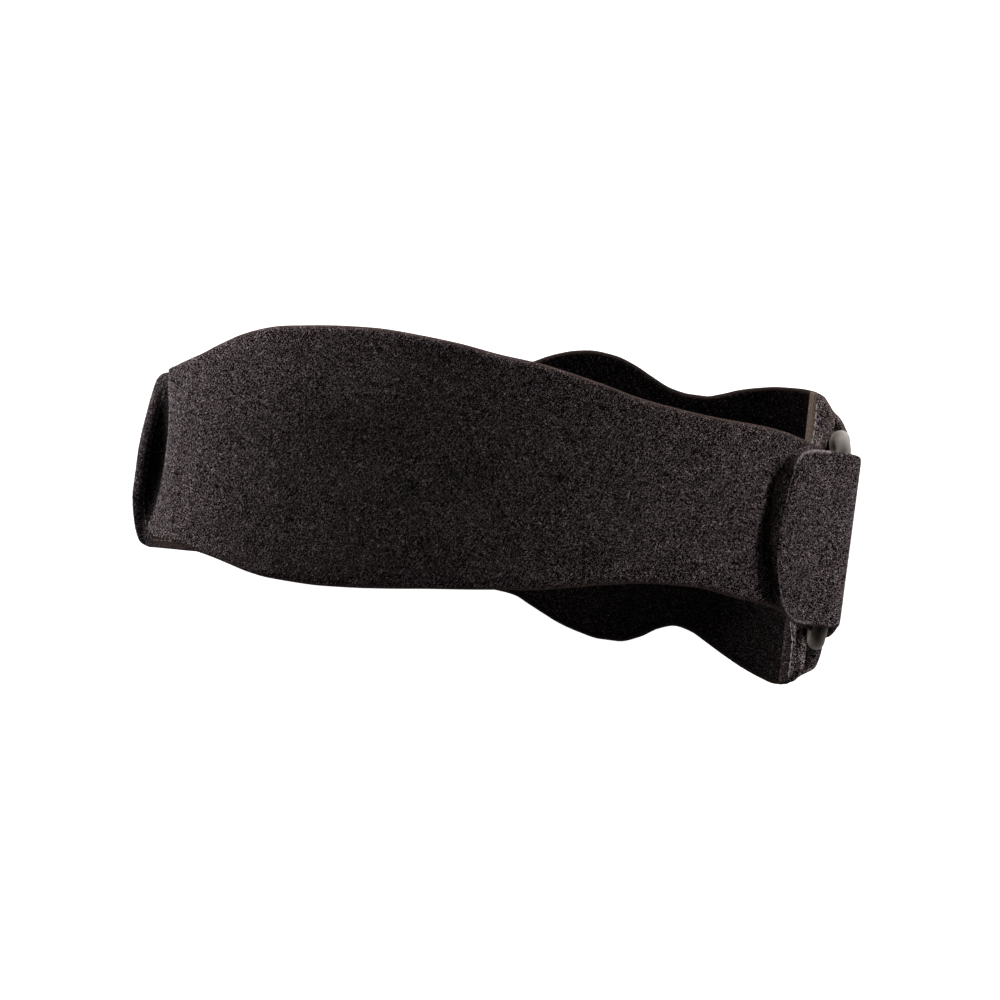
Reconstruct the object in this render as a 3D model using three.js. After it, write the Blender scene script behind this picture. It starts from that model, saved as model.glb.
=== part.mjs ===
// Patella strap: a closed loop of brushed foam laminate, lying on its broad
// rear pad. Millimetres, +Z up. +X runs along the loop's long direction, +Y
// along the axis of the leg opening, and the loop rests on z = 0.
//
// Pieces
//   main_band    wide front band; its right end goes through the slot ring,
//                round the ring's upper bar and back over itself as a tab
//   tendon_pad   rear pad with two lobes and a waist; its left end curls up
//                into a lip that takes the band's end
//   ring_keeper  tapered strip folded round the ring's lower bar, with the
//                pad's right end between its two layers
//   slot_ring    moulded plastic ring of round rod
import * as THREE from 'three';
import { mergeVertices } from 'three/addons/utils/BufferGeometryUtils.js';

// ---- driving sizes, mm ----
const BAND_THICKNESS = 2.0;
const PAD_THICKNESS = 2.4;
const KEEPER_THICKNESS = 1.8;
const GAP = 0.3;             // clearance between touching pieces
const EDGE_ROUND = 0.55;     // how far a cut edge is rounded in from its rim

const RING_ROD = 3.4;        // rod diameter
const RING_LENGTH = 48.6;    // over the ends, along Y
const RING_CORNER = 3.0;     // corner radius of the rod's centreline
const RING_CENTRE_Y = 0.7;
const UPPER_BAR = { x: 73.2, z: 30.5 };
const LOWER_BAR = { x: 73.1, z: 21.2 };

const BAND_FACES = 8;        // facets across the band's width
const PAD_FACES = 8;
const KEEPER_FACES = 6;
const MAX_TURN = 10;         // degrees of bend between two stations
const MAX_STEP = 5.0;        // and the furthest that two stations are apart

// ---- the band, seen along Y: mid-surface from the left end to the ring ----
const BAND_ARCH = [
  { x: -74.0, z: 14.7 },
  { x: -74.2, z: 17.2 },
  { x: -73.6, z: 20.4 },
  { x: -71.8, z: 24.2 },
  { x: -69.0, z: 28.0 },
  { x: -65.4, z: 31.6 },
  { x: -60.6, z: 35.2 },
  { x: -53.0, z: 39.8 },
  { x: -44.3, z: 43.6 },
  { x: -27.0, z: 48.1 },
  { x: -9.7, z: 49.9 },
  { x: 7.7, z: 49.7 },
  { x: 25.0, z: 48.0 },
  { x: 42.3, z: 44.5 },
  { x: 51.0, z: 41.9 },
  { x: 59.0, z: 38.4 },
  { x: 65.2, z: 34.1 },
];
const BAR_WRAP = { from: -136, to: 60, steps: 8 };   // degrees round the bar
const TAB_LINE = [
  { x: 70.4, z: 35.6 },
  { x: 66.0, z: 38.0 },
  { x: 59.5, z: 41.5 },
];

// the band's outline: its upper and lower edge in Y at each place in X
const BAND_EDGES = [
  { x: -77.0, top: 19.3, bottom: -16.6 },
  { x: -76.2, top: 19.7, bottom: -17.3 },
  { x: -74.4, top: 20.6, bottom: -18.0 },
  { x: -72.0, top: 22.0, bottom: -18.2 },
  { x: -69.8, top: 23.2, bottom: -18.6 },
  { x: -65.2, top: 25.9, bottom: -19.6 },
  { x: -60.7, top: 28.2, bottom: -20.4 },
  { x: -56.2, top: 29.9, bottom: -21.4 },
  { x: -51.9, top: 31.0, bottom: -22.4 },
  { x: -47.4, top: 31.6, bottom: -23.0 },
  { x: -38.6, top: 32.5, bottom: -23.2 },
  { x: -30.0, top: 32.9, bottom: -22.7 },
  { x: -21.4, top: 32.5, bottom: -21.8 },
  { x: -12.8, top: 31.8, bottom: -20.7 },
  { x: -4.1, top: 30.6, bottom: -19.7 },
  { x: 4.6, top: 29.8, bottom: -18.6 },
  { x: 9.0, top: 29.1, bottom: -18.1 },
  { x: 17.8, top: 27.4, bottom: -16.4 },
  { x: 26.7, top: 25.4, bottom: -14.6 },
  { x: 35.6, top: 24.2, bottom: -13.4 },
  { x: 44.3, top: 23.5, bottom: -13.1 },
  { x: 53.2, top: 23.2, bottom: -14.3 },
  { x: 58.0, top: 22.8, bottom: -14.8 },
  { x: 62.6, top: 21.9, bottom: -15.6 },
  { x: 66.0, top: 21.0, bottom: -17.4 },
  { x: 69.0, top: 20.0, bottom: -19.0 },
];
// and round the upper bar, by the angle from +X: drawn in by the slot, cut back
// at a slant at its lower corner, and then the tab's even width
const FOLD_EDGES = [
  { angle: -136, top: 19.8, bottom: -19.5 },
  { angle: -53, top: 19.0, bottom: -20.1 },
  { angle: -28, top: 18.8, bottom: -19.6 },
  { angle: 0, top: 19.2, bottom: -18.0 },
  { angle: 24, top: 19.7, bottom: -17.9 },
  { angle: 62, top: 19.9, bottom: -18.2 },
];
const TAB_EDGES = { top: 19.9, bottom: -18.2 };
// the tab's free end: edges at a distance back from its tip
const TAB_TIP = [
  { back: 0.0, top: 2.4, bottom: -1.2 },
  { back: 0.4, top: 5.6, bottom: -4.2 },
  { back: 0.9, top: 9.8, bottom: -6.6 },
  { back: 1.6, top: 14.0, bottom: -9.2 },
  { back: 2.4, top: 16.6, bottom: -11.6 },
  { back: 3.4, top: 18.1, bottom: -13.9 },
  { back: 4.7, top: 19.2, bottom: -15.8 },
  { back: 6.0, top: 19.6, bottom: -17.1 },
  { back: 7.6, top: 19.8, bottom: -17.9 },
  { back: 10.0, top: 19.9, bottom: -18.2 },
];
// the band's left end is cut on a curve and drawn in at its middle
const LEFT_END = { centre: 1.0, half: 18.0, rise: 5.4, reach: 2.5, fade: 26.0 };

// ---- the pad, seen along Y: lip, curl, flat base, curl up to the ring ----
const LIP = { rimX: -80.2, rimZ: 20.0, slope: 61.5, radius: 19.0 };
const PAD_BASE = { right: 52.5, radius: 18.5, slope: 70.0, tail: 1.9 };
const PAD_EDGES = [
  { x: -75.6, top: 19.2, bottom: -21.0 },
  { x: -70.0, top: 19.2, bottom: -21.2 },
  { x: -60.0, top: 18.8, bottom: -20.8 },
  { x: -46.0, top: 18.8, bottom: -20.4 },
  { x: -26.0, top: 20.4, bottom: -20.3 },
  { x: -12.0, top: 24.2, bottom: -20.3 },
  { x: -4.0, top: 28.6, bottom: -20.3 },
  { x: 3.8, top: 32.7, bottom: -20.8 },
  { x: 6.5, top: 34.1, bottom: -21.3 },
  { x: 9.2, top: 35.2, bottom: -22.6 },
  { x: 13.0, top: 36.3, bottom: -24.4 },
  { x: 17.0, top: 36.8, bottom: -26.2 },
  { x: 22.0, top: 36.3, bottom: -27.7 },
  { x: 26.8, top: 34.7, bottom: -28.6 },
  { x: 31.0, top: 32.6, bottom: -28.6 },
  { x: 35.8, top: 30.5, bottom: -27.0 },
  { x: 40.1, top: 29.8, bottom: -24.4 },
  { x: 43.6, top: 29.8, bottom: -23.4 },
  { x: 47.0, top: 30.7, bottom: -24.1 },
  { x: 51.1, top: 32.2, bottom: -26.2 },
  { x: 55.6, top: 33.3, bottom: -28.7 },
  { x: 60.1, top: 34.0, bottom: -30.9 },
  { x: 64.3, top: 34.1, bottom: -32.5 },
  { x: 67.0, top: 33.8, bottom: -33.2 },
  { x: 69.0, top: 32.8, bottom: -32.8 },
  { x: 70.2, top: 30.6, bottom: -31.0 },
  { x: 71.0, top: 28.0, bottom: -28.6 },
];
const LIP_TIP = [
  { back: 0.0, top: 0.5, bottom: -9.0 },
  { back: 0.5, top: 4.8, bottom: -11.4 },
  { back: 1.1, top: 7.8, bottom: -13.2 },
  { back: 2.1, top: 12.6, bottom: -15.6 },
  { back: 3.0, top: 15.6, bottom: -17.4 },
  { back: 3.8, top: 17.2, bottom: -18.6 },
  { back: 5.4, top: 18.4, bottom: -20.1 },
  { back: 8.5, top: 19.0, bottom: -20.9 },
];

// ---- the keeper: the run of each layer beside the pad, and its outline ----
const KEEPER_UPPER = [{ x: 66.4, z: 11.7 }, { x: 67.5, z: 14.2 }, { x: 69.0, z: 18.3 }];
const KEEPER_LOWER = [{ x: 74.6, z: 16.8 }, { x: 72.4, z: 12.8 }, { x: 70.7, z: 9.4 }, { x: 68.8, z: 6.7 }];
const KEEPER_WRAP = { from: 160, to: -20, steps: 8 };
// the upper layer is cut at a slant, so it starts later at its lower edge
const KEEPER_SLANT = { top: 33.4, span: 66.3, rise: 3.2, fade: 9.0 };
const KEEPER_EDGES = [
  { at: 0.0, top: 33.4, bottom: -32.9 },
  { at: 2.6, top: 33.0, bottom: -32.6 },
  { at: 5.5, top: 30.8, bottom: -30.8 },
  { at: 7.0, top: 28.0, bottom: -28.4 },
  { at: 8.6, top: 24.2, bottom: -24.0 },
  { at: 10.5, top: 19.8, bottom: -18.4 },
  { at: 20.6, top: 19.8, bottom: -18.4 },
  { at: 22.6, top: 24.4, bottom: -25.6 },
  { at: 24.6, top: 25.6, bottom: -27.8 },
  { at: 27.0, top: 27.4, bottom: -29.3 },
  { at: 30.4, top: 29.9, bottom: -31.0 },
  { at: 32.2, top: 32.0, bottom: -32.4 },
  { at: 34.0, top: 33.4, bottom: -32.9 },
];

const RAD = Math.PI / 180;

// a value of a table's column between its rows
function lookup(rows, key, column, at) {
  if (at <= rows[0][key]) return rows[0][column];
  for (let i = 1; i < rows.length; i++) {
    const a = rows[i - 1], b = rows[i];
    if (at <= b[key]) return a[column] + (b[column] - a[column]) * (at - a[key]) / (b[key] - a[key]);
  }
  return rows[rows.length - 1][column];
}

// points on a circle in the XZ plane, angles in degrees from +X towards +Z
function arcPoints(centre, radius, from, to, steps) {
  const points = [];
  for (let i = 0; i <= steps; i++) {
    const angle = (from + (to - from) * i / steps) * RAD;
    points.push({ x: centre.x + radius * Math.cos(angle), z: centre.z + radius * Math.sin(angle) });
  }
  return points;
}

// a smooth run through points of the XZ plane, asked for by distance along it
function makeRun(points) {
  const curve = new THREE.CatmullRomCurve3(points.map((p) => new THREE.Vector3(p.x, 0, p.z)), false, 'centripetal');
  curve.arcLengthDivisions = 1500;
  const length = curve.getLength();
  const at = (s) => {
    const u = Math.min(1, Math.max(0, s / length));
    const p = curve.getPointAt(u), t = curve.getTangentAt(u);
    return { x: p.x, z: p.z, tx: t.x, tz: t.z };
  };
  return { length, at };
}

// a run of straight and round stretches in the XZ plane, from a start point and
// a heading in degrees from +X towards +Z; turn is what each stretch adds to it
function bentRun(start, heading, stretches) {
  const parts = [];
  let { x, z } = start, angle = heading * RAD, from = 0;
  const along = (part, d) => {
    const bend = part.turn * RAD * d / part.length;
    const chord = Math.abs(bend) < 1e-9 ? d : 2 * d / bend * Math.sin(bend / 2);
    const direction = part.angle + bend / 2;
    return {
      x: part.x + chord * Math.cos(direction), z: part.z + chord * Math.sin(direction),
      tx: Math.cos(part.angle + bend), tz: Math.sin(part.angle + bend),
    };
  };
  for (const stretch of stretches) {
    const part = { ...stretch, x, z, angle, from };
    parts.push(part);
    const end = along(part, part.length);
    x = end.x; z = end.z; angle += part.turn * RAD; from += part.length;
  }
  const at = (s) => {
    const d = Math.min(from, Math.max(0, s));
    const part = parts.find((q) => d <= q.from + q.length) || parts[parts.length - 1];
    return along(part, d - part.from);
  };
  return { length: from, at };
}

// distances along a run: closer together where it bends
function stations(run, extra = []) {
  const list = [0];
  const fine = 0.2;
  let last = run.at(0), lastAt = 0;
  for (let s = fine; s < run.length - fine / 2; s += fine) {
    const here = run.at(s);
    const turn = Math.acos(Math.min(1, here.tx * last.tx + here.tz * last.tz)) / RAD;
    if (turn >= MAX_TURN || s - lastAt >= MAX_STEP) {
      list.push(s);
      last = here;
      lastAt = s;
    }
  }
  list.push(run.length, ...extra);
  list.sort((a, b) => a - b);
  return list.filter((s, i) => i === 0 || s - list[i - 1] > 0.15);
}

// a closed band of even thickness: run gives its mid-surface, edges(s) its two
// edges in Y, and warp(s, y) moves a point along the run and in X
function ribbon({ run, edges, thickness, faces, at, warp }) {
  const position = [];
  const index = [];
  const half = thickness / 2;
  const around = 2 * (faces + 1) + 4;
  const put = (s, y, off) => {
    const w = warp ? warp(s, y) : { s, dx: 0 };
    const p = run.at(w.s);
    position.push(p.x + w.dx - p.tz * off, y, p.z + p.tx * off);
  };
  for (const s of at) {
    const { top, bottom } = edges(s);
    const round = Math.min(EDGE_ROUND, (top - bottom) * 0.2);
    const across = (k) => bottom + round + (top - bottom - 2 * round) * k / faces;
    for (let k = 0; k <= faces; k++) put(s, across(k), half);
    put(s, top, half * 0.45);
    put(s, top, -half * 0.45);
    for (let k = faces; k >= 0; k--) put(s, across(k), -half);
    put(s, bottom, -half * 0.45);
    put(s, bottom, half * 0.45);
  }
  const quad = (a, b, c, d) => index.push(a, b, c, a, c, d);
  for (let i = 0; i + 1 < at.length; i++) {
    for (let j = 0; j < around; j++) {
      const k = (j + 1) % around;
      quad(i * around + j, (i + 1) * around + j, (i + 1) * around + k, i * around + k);
    }
  }
  // end caps, in strips between the upper and the lower face
  const upper = (k) => k;
  const lower = (k) => 2 * faces + 3 - k;
  for (const [base, flip] of [[0, false], [(at.length - 1) * around, true]]) {
    const strip = [];
    for (let k = 0; k < faces; k++) strip.push([upper(k), upper(k + 1), lower(k + 1), lower(k)]);
    strip.push([upper(faces), faces + 1, faces + 2, lower(faces)]);
    strip.push([lower(0), 2 * faces + 4, 2 * faces + 5, upper(0)]);
    for (const q of strip) {
      const v = q.map((n) => n + base);
      if (flip) v.reverse();
      quad(...v);
    }
  }
  return solid(position, index);
}

// a closed ring of round rod along a loop of stations with their own normals
function rodLoop(loop, radius, sides) {
  const position = [];
  const index = [];
  for (const { p, n, b } of loop) {
    for (let k = 0; k < sides; k++) {
      const c = Math.cos(2 * Math.PI * k / sides) * radius;
      const d = Math.sin(2 * Math.PI * k / sides) * radius;
      position.push(p.x + n.x * c + b.x * d, p.y + n.y * c + b.y * d, p.z + n.z * c + b.z * d);
    }
  }
  for (let i = 0; i < loop.length; i++) {
    const j = (i + 1) % loop.length;
    for (let k = 0; k < sides; k++) {
      const l = (k + 1) % sides;
      index.push(i * sides + k, j * sides + k, j * sides + l, i * sides + k, j * sides + l, i * sides + l);
    }
  }
  return solid(position, index);
}

// the finished geometry, with its faces turned outwards
function solid(position, index) {
  let volume = 0;
  const v = (i) => new THREE.Vector3().fromArray(position, 3 * i);
  for (let i = 0; i < index.length; i += 3) {
    volume += v(index[i]).dot(v(index[i + 1]).cross(v(index[i + 2]))) / 6;
  }
  if (volume < 0) for (let i = 0; i < index.length; i += 3) [index[i], index[i + 1]] = [index[i + 1], index[i]];
  const geometry = new THREE.BufferGeometry();
  geometry.setAttribute('position', new THREE.Float32BufferAttribute(position, 3));
  geometry.setIndex(index);
  const merged = mergeVertices(geometry, 1e-5);
  merged.computeVertexNormals();
  return merged;
}

// ---- main band ----
function mainBand() {
  const wrap = arcPoints(UPPER_BAR, RING_ROD / 2 + GAP + BAND_THICKNESS / 2, BAR_WRAP.from, BAR_WRAP.to, BAR_WRAP.steps);
  const run = makeRun([...BAND_ARCH, ...wrap, ...TAB_LINE]);
  // distance along the run at which the band comes to the upper bar
  let passed = run.length;
  for (let s = run.length * 0.5; s < run.length; s += 0.1) {
    if (run.at(s).x > wrap[0].x) { passed = s; break; }
  }
  const warp = (s, y) => {
    const fade = Math.max(0, 1 - s / LEFT_END.fade);
    const out = Math.min(1.2, Math.abs(y - LEFT_END.centre) / LEFT_END.half) ** 2;
    return { s: s + LEFT_END.rise * out * fade, dx: -LEFT_END.reach * out * fade * fade };
  };
  // where in X the band's edge comes to lie, seen from the front
  const shownAt = (s, y) => {
    const w = warp(s, y), p = run.at(w.s);
    return p.x + w.dx - p.tz * BAND_THICKNESS / 4;
  };
  const edges = (s) => {
    const back = run.length - s;
    if (back < TAB_TIP[TAB_TIP.length - 1].back) {
      return { top: lookup(TAB_TIP, 'back', 'top', back), bottom: lookup(TAB_TIP, 'back', 'bottom', back) };
    }
    const { x, z } = run.at(s);
    if (s > passed) {
      const angle = Math.atan2(z - UPPER_BAR.z, x - UPPER_BAR.x) / RAD;
      if (angle > FOLD_EDGES[FOLD_EDGES.length - 1].angle) return TAB_EDGES;
      return { top: lookup(FOLD_EDGES, 'angle', 'top', angle), bottom: lookup(FOLD_EDGES, 'angle', 'bottom', angle) };
    }
    return {
      top: lookup(BAND_EDGES, 'x', 'top', shownAt(s, TAB_EDGES.top)),
      bottom: lookup(BAND_EDGES, 'x', 'bottom', shownAt(s, TAB_EDGES.bottom)),
    };
  };
  const at = stations(run, TAB_TIP.map((r) => run.length - r.back));
  return ribbon({ run, edges, thickness: BAND_THICKNESS, faces: BAND_FACES, at, warp });
}

// ---- tendon pad ----
function tendonPad() {
  const half = PAD_THICKNESS / 2;
  const lipFoot = LIP.radius * (1 - Math.cos(LIP.slope * RAD)) + half;
  const lipLength = (LIP.rimZ - lipFoot) / Math.sin(LIP.slope * RAD);
  const flatFrom = LIP.rimX + lipLength * Math.cos(LIP.slope * RAD) + LIP.radius * Math.sin(LIP.slope * RAD);
  const run = bentRun({ x: LIP.rimX, z: LIP.rimZ }, -LIP.slope, [
    { length: lipLength, turn: 0 },
    { length: LIP.radius * LIP.slope * RAD, turn: LIP.slope },
    { length: PAD_BASE.right - flatFrom, turn: 0 },
    { length: PAD_BASE.radius * PAD_BASE.slope * RAD, turn: PAD_BASE.slope },
    { length: PAD_BASE.tail, turn: 0 },
  ]);
  const edges = (s) => {
    if (s < LIP_TIP[LIP_TIP.length - 1].back) {
      return { top: lookup(LIP_TIP, 'back', 'top', s), bottom: lookup(LIP_TIP, 'back', 'bottom', s) };
    }
    const x = run.at(s).x;
    return { top: lookup(PAD_EDGES, 'x', 'top', x), bottom: lookup(PAD_EDGES, 'x', 'bottom', x) };
  };
  const start = run.length * 0.5;
  const extra = LIP_TIP.map((r) => r.back);
  for (const row of PAD_EDGES) {
    for (let s = 10; s < run.length; s += 0.25) if (run.at(s).x >= row.x) { if (s > start * 0.6) extra.push(s); break; }
  }
  return ribbon({ run, edges, thickness: PAD_THICKNESS, faces: PAD_FACES, at: stations(run, extra) });
}

// ---- ring keeper ----
function ringKeeper() {
  const wrap = arcPoints(LOWER_BAR, RING_ROD / 2 + GAP + KEEPER_THICKNESS / 2, KEEPER_WRAP.from, KEEPER_WRAP.to, KEEPER_WRAP.steps);
  const run = makeRun([...KEEPER_UPPER, ...wrap, ...KEEPER_LOWER]);
  const edges = (s) => ({ top: lookup(KEEPER_EDGES, 'at', 'top', s), bottom: lookup(KEEPER_EDGES, 'at', 'bottom', s) });
  const warp = (s, y) => {
    const fade = Math.max(0, 1 - s / KEEPER_SLANT.fade);
    return { s: s + KEEPER_SLANT.rise * fade * (KEEPER_SLANT.top - y) / KEEPER_SLANT.span, dx: 0 };
  };
  return ribbon({ run, edges, thickness: KEEPER_THICKNESS, faces: KEEPER_FACES, at: stations(run, KEEPER_EDGES.map((r) => r.at)), warp });
}

// ---- slot ring: a rounded rectangle of rod in the plane of its two bars ----
function slotRing() {
  const up = new THREE.Vector3(UPPER_BAR.x - LOWER_BAR.x, 0, UPPER_BAR.z - LOWER_BAR.z);
  const halfHeight = up.length() / 2;
  up.normalize();
  const along = new THREE.Vector3(0, 1, 0);
  const b = new THREE.Vector3().crossVectors(along, up);
  const centre = new THREE.Vector3((UPPER_BAR.x + LOWER_BAR.x) / 2, RING_CENTRE_Y, (UPPER_BAR.z + LOWER_BAR.z) / 2);
  const halfLength = (RING_LENGTH - RING_ROD) / 2;
  const loop = [];
  const corners = [[1, 1, 0], [-1, 1, 90], [-1, -1, 180], [1, -1, 270]];
  for (const [sy, su, from] of corners) {
    for (let i = 0; i <= 6; i++) {
      const angle = (from + 90 * i / 6) * RAD;
      const y = sy * (halfLength - RING_CORNER) + RING_CORNER * Math.cos(angle);
      const u = su * (halfHeight - RING_CORNER) + RING_CORNER * Math.sin(angle);
      const p = centre.clone().addScaledVector(along, y).addScaledVector(up, u);
      const n = along.clone().multiplyScalar(Math.cos(angle)).addScaledVector(up, Math.sin(angle));
      loop.push({ p, n, b });
    }
  }
  return rodLoop(loop, RING_ROD / 2, 16);
}

const FINISH = {
  fabric: { color: 0x1f1a1b, roughness: 0.95, metalness: 0.0 },
  padFabric: { color: 0x191617, roughness: 0.96, metalness: 0.0 },
  plastic: { color: 0x2b2a2a, roughness: 0.42, metalness: 0.0 },
};

function piece(name, geometry, finish) {
  const mesh = new THREE.Mesh(geometry, new THREE.MeshStandardMaterial(finish));
  mesh.name = name;
  return mesh;
}

const strap = new THREE.Group();
strap.name = 'patella_strap';
strap.add(
  piece('main_band', mainBand(), FINISH.fabric),
  piece('tendon_pad', tendonPad(), FINISH.padFabric),
  piece('ring_keeper', ringKeeper(), FINISH.fabric),
  piece('slot_ring', slotRing(), FINISH.plastic),
);

// the origin is the middle of the strap's box, at the height of its base
const box = new THREE.Box3().setFromObject(strap);
const middle = box.getCenter(new THREE.Vector3());
strap.position.set(-middle.x, -middle.y, -box.min.z);
strap.updateMatrixWorld(true);

export default strap;
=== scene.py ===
import math

import bpy
import numpy as np
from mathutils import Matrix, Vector


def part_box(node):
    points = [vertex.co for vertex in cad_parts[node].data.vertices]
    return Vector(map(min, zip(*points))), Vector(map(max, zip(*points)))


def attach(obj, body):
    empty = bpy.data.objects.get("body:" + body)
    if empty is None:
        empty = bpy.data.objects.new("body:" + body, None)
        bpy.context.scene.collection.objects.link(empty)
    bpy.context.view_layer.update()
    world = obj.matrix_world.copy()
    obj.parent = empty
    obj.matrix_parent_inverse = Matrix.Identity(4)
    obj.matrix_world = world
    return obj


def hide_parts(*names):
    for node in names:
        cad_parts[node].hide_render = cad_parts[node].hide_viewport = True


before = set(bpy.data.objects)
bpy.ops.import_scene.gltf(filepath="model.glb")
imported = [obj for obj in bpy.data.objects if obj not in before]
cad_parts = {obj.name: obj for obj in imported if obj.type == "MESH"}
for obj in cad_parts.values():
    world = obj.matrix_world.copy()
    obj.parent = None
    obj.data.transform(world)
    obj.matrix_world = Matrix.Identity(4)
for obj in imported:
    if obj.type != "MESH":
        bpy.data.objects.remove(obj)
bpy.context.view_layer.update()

# The strap's cloth pieces are ribbons on the same runs and outlines as the CAD
# solids, made fine and soft. Lengths are in mm until a mesh is made. "Local"
# coordinates put the slot ring's centre at (73.15, 0.7); SHIFT takes them to
# the shared frame.
lo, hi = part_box("slot_ring")
SHIFT = np.array([(lo.x + hi.x) * 500 - 73.15, (lo.y + hi.y) * 500 - 0.7, 0.0])
RNG = np.random.default_rng(20417)

# ---------------------------------------------------------------- sizes
BAND_THICKNESS, PAD_THICKNESS, KEEPER_THICKNESS, GAP = 2.0, 2.4, 1.8, 0.3
RING_ROD, RING_LENGTH, RING_CORNER, RING_CENTRE_Y = 3.4, 48.6, 3.0, 0.7
UPPER_BAR = (73.2, 30.5)
LOWER_BAR = (73.1, 21.2)

# mid-surface of the band seen along Y: x, z
BAND_ARCH = [
    (-74.0, 14.7), (-74.2, 17.2), (-73.6, 20.4), (-71.8, 24.2), (-69.0, 28.0), (-65.4, 31.6),
    (-60.6, 35.2), (-53.0, 39.8), (-44.3, 43.6), (-27.0, 48.1), (-9.7, 49.9), (7.7, 49.7),
    (25.0, 48.0), (42.3, 44.5), (51.0, 41.9), (59.0, 38.4), (65.2, 34.1),
]
TAB_LINE = [(70.4, 35.6), (66.0, 38.0), (59.5, 41.5)]
# outline of the band: x, top, bottom
BAND_EDGES = [
    (-77.0, 19.3, -16.6), (-76.2, 19.7, -17.3), (-74.4, 20.6, -18.0), (-72.0, 22.0, -18.2),
    (-69.8, 23.2, -18.6), (-65.2, 25.9, -19.6), (-60.7, 28.2, -20.4), (-56.2, 29.9, -21.4), (-51.9, 31.0, -22.4),
    (-47.4, 31.6, -23.0), (-38.6, 32.5, -23.2), (-30.0, 32.9, -22.7), (-21.4, 32.5, -21.8),
    (-12.8, 31.8, -20.7), (-4.1, 30.6, -19.7), (4.6, 29.8, -18.6), (9.0, 29.1, -18.1),
    (17.8, 27.4, -16.4), (26.7, 25.4, -14.6), (35.6, 24.2, -13.4), (44.3, 23.5, -13.1),
    (53.2, 23.2, -14.3), (58.0, 22.8, -14.8), (62.6, 21.9, -15.6), (66.0, 21.0, -17.4),
    (69.0, 20.0, -19.0),
]
# round the upper bar: angle from +X, top, bottom
FOLD_EDGES = [
    (-136, 19.8, -19.5), (-80, 19.2, -19.9), (-53, 19.0, -20.6), (-28, 18.8, -19.6), (-4, 19.1, -18.2),
    (24, 19.7, -17.9), (62, 19.9, -18.2),
]
TAB_TOP, TAB_BOTTOM = 19.9, -18.2
# the tab's free end: distance back from its tip, top, bottom
TAB_TIP = [
    (0.0, 2.4, -1.2), (0.4, 5.6, -4.2), (0.9, 9.8, -6.6), (1.6, 14.0, -9.2), (2.4, 16.6, -11.6),
    (3.4, 18.1, -13.9), (4.7, 19.2, -15.8), (6.0, 19.6, -17.1), (7.6, 19.8, -17.9), (10.0, 19.9, -18.2),
]
LEFT_END = {"centre": 1.0, "half": 18.0, "rise": 5.4, "reach": 2.5, "fade": 26.0}

LIP = {"rimX": -80.2, "rimZ": 20.0, "slope": 61.5, "radius": 19.0}
PAD_BASE = {"right": 52.5, "radius": 18.5, "slope": 70.0, "tail": 1.9}
PAD_EDGES = [
    (-75.6, 19.2, -20.8), (-70.0, 19.2, -20.8), (-60.0, 18.8, -20.3), (-46.0, 18.8, -20.2),
    (-26.0, 20.4, -20.3), (-12.0, 24.2, -20.3), (-4.0, 28.6, -20.3), (3.8, 32.7, -20.8),
    (6.5, 34.1, -21.3), (9.2, 35.2, -22.6), (13.0, 36.3, -24.4), (17.0, 36.8, -26.2),
    (22.0, 36.3, -27.7), (26.8, 34.7, -28.6), (31.0, 32.6, -28.6), (35.8, 30.5, -27.0),
    (40.1, 29.8, -24.4), (43.6, 29.8, -23.4), (47.0, 30.7, -24.1), (51.1, 32.2, -26.2),
    (55.6, 33.3, -28.7), (60.1, 34.0, -30.9), (64.3, 34.1, -32.5), (67.0, 33.8, -33.2),
    (69.0, 32.8, -32.8), (70.2, 30.6, -31.0), (71.0, 28.0, -28.6),
]
LIP_TIP = [
    (0.0, 0.5, -9.0), (0.5, 4.8, -11.4), (1.1, 7.8, -13.2), (2.1, 12.6, -15.6),
    (3.0, 15.6, -17.4), (3.8, 17.2, -18.6), (5.4, 18.4, -20.1), (8.5, 19.0, -20.9),
]

KEEPER_UPPER = [(66.4, 11.7), (67.5, 14.2), (69.0, 18.3)]
KEEPER_LOWER = [(74.6, 16.8), (72.4, 12.8), (70.7, 9.4), (68.8, 6.7)]
KEEPER_SLANT = {"top": 33.4, "span": 66.3, "rise": 3.2, "fade": 9.0}
# the keeper: distance along its run, top, bottom
KEEPER_EDGES = [
    (0.0, 33.4, -32.9), (3.2, 33.0, -32.5), (5.5, 30.8, -30.8), (7.0, 28.8, -29.0), (7.9, 26.4, -27.0),
    (8.8, 22.8, -24.2), (9.6, 20.4, -20.6), (10.5, 19.8, -18.4),
    (20.6, 19.8, -18.4), (21.6, 20.6, -19.0), (23.0, 24.2, -25.4), (24.6, 26.0, -28.3), (27.0, 28.2, -29.5), (30.4, 29.9, -31.0),
    (32.2, 31.2, -32.2), (34.0, 32.8, -32.6),
]


# ---------------------------------------------------------------- curves
def smooth(rows, column):
    """A monotone cubic through a table's first column and another, as a function of arrays."""
    x = np.array([r[0] for r in rows], float)
    y = np.array([r[column] for r in rows], float)
    h = np.diff(x)
    d = np.diff(y) / h
    m = np.zeros(len(x))
    m[0], m[-1] = d[0], d[-1]
    for i in range(1, len(x) - 1):
        if d[i - 1] * d[i] > 0:
            w1, w2 = 2 * h[i] + h[i - 1], h[i] + 2 * h[i - 1]
            m[i] = (w1 + w2) / (w1 / d[i - 1] + w2 / d[i])

    def value(at):
        at = np.clip(np.asarray(at, float), x[0], x[-1])
        i = np.clip(np.searchsorted(x, at) - 1, 0, len(h) - 1)
        t = (at - x[i]) / h[i]
        return (
            y[i] * (1 + 2 * t) * (1 - t) ** 2 + m[i] * h[i] * t * (1 - t) ** 2
            + y[i + 1] * t * t * (3 - 2 * t) + m[i + 1] * h[i] * t * t * (t - 1)
        )

    return value


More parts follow.
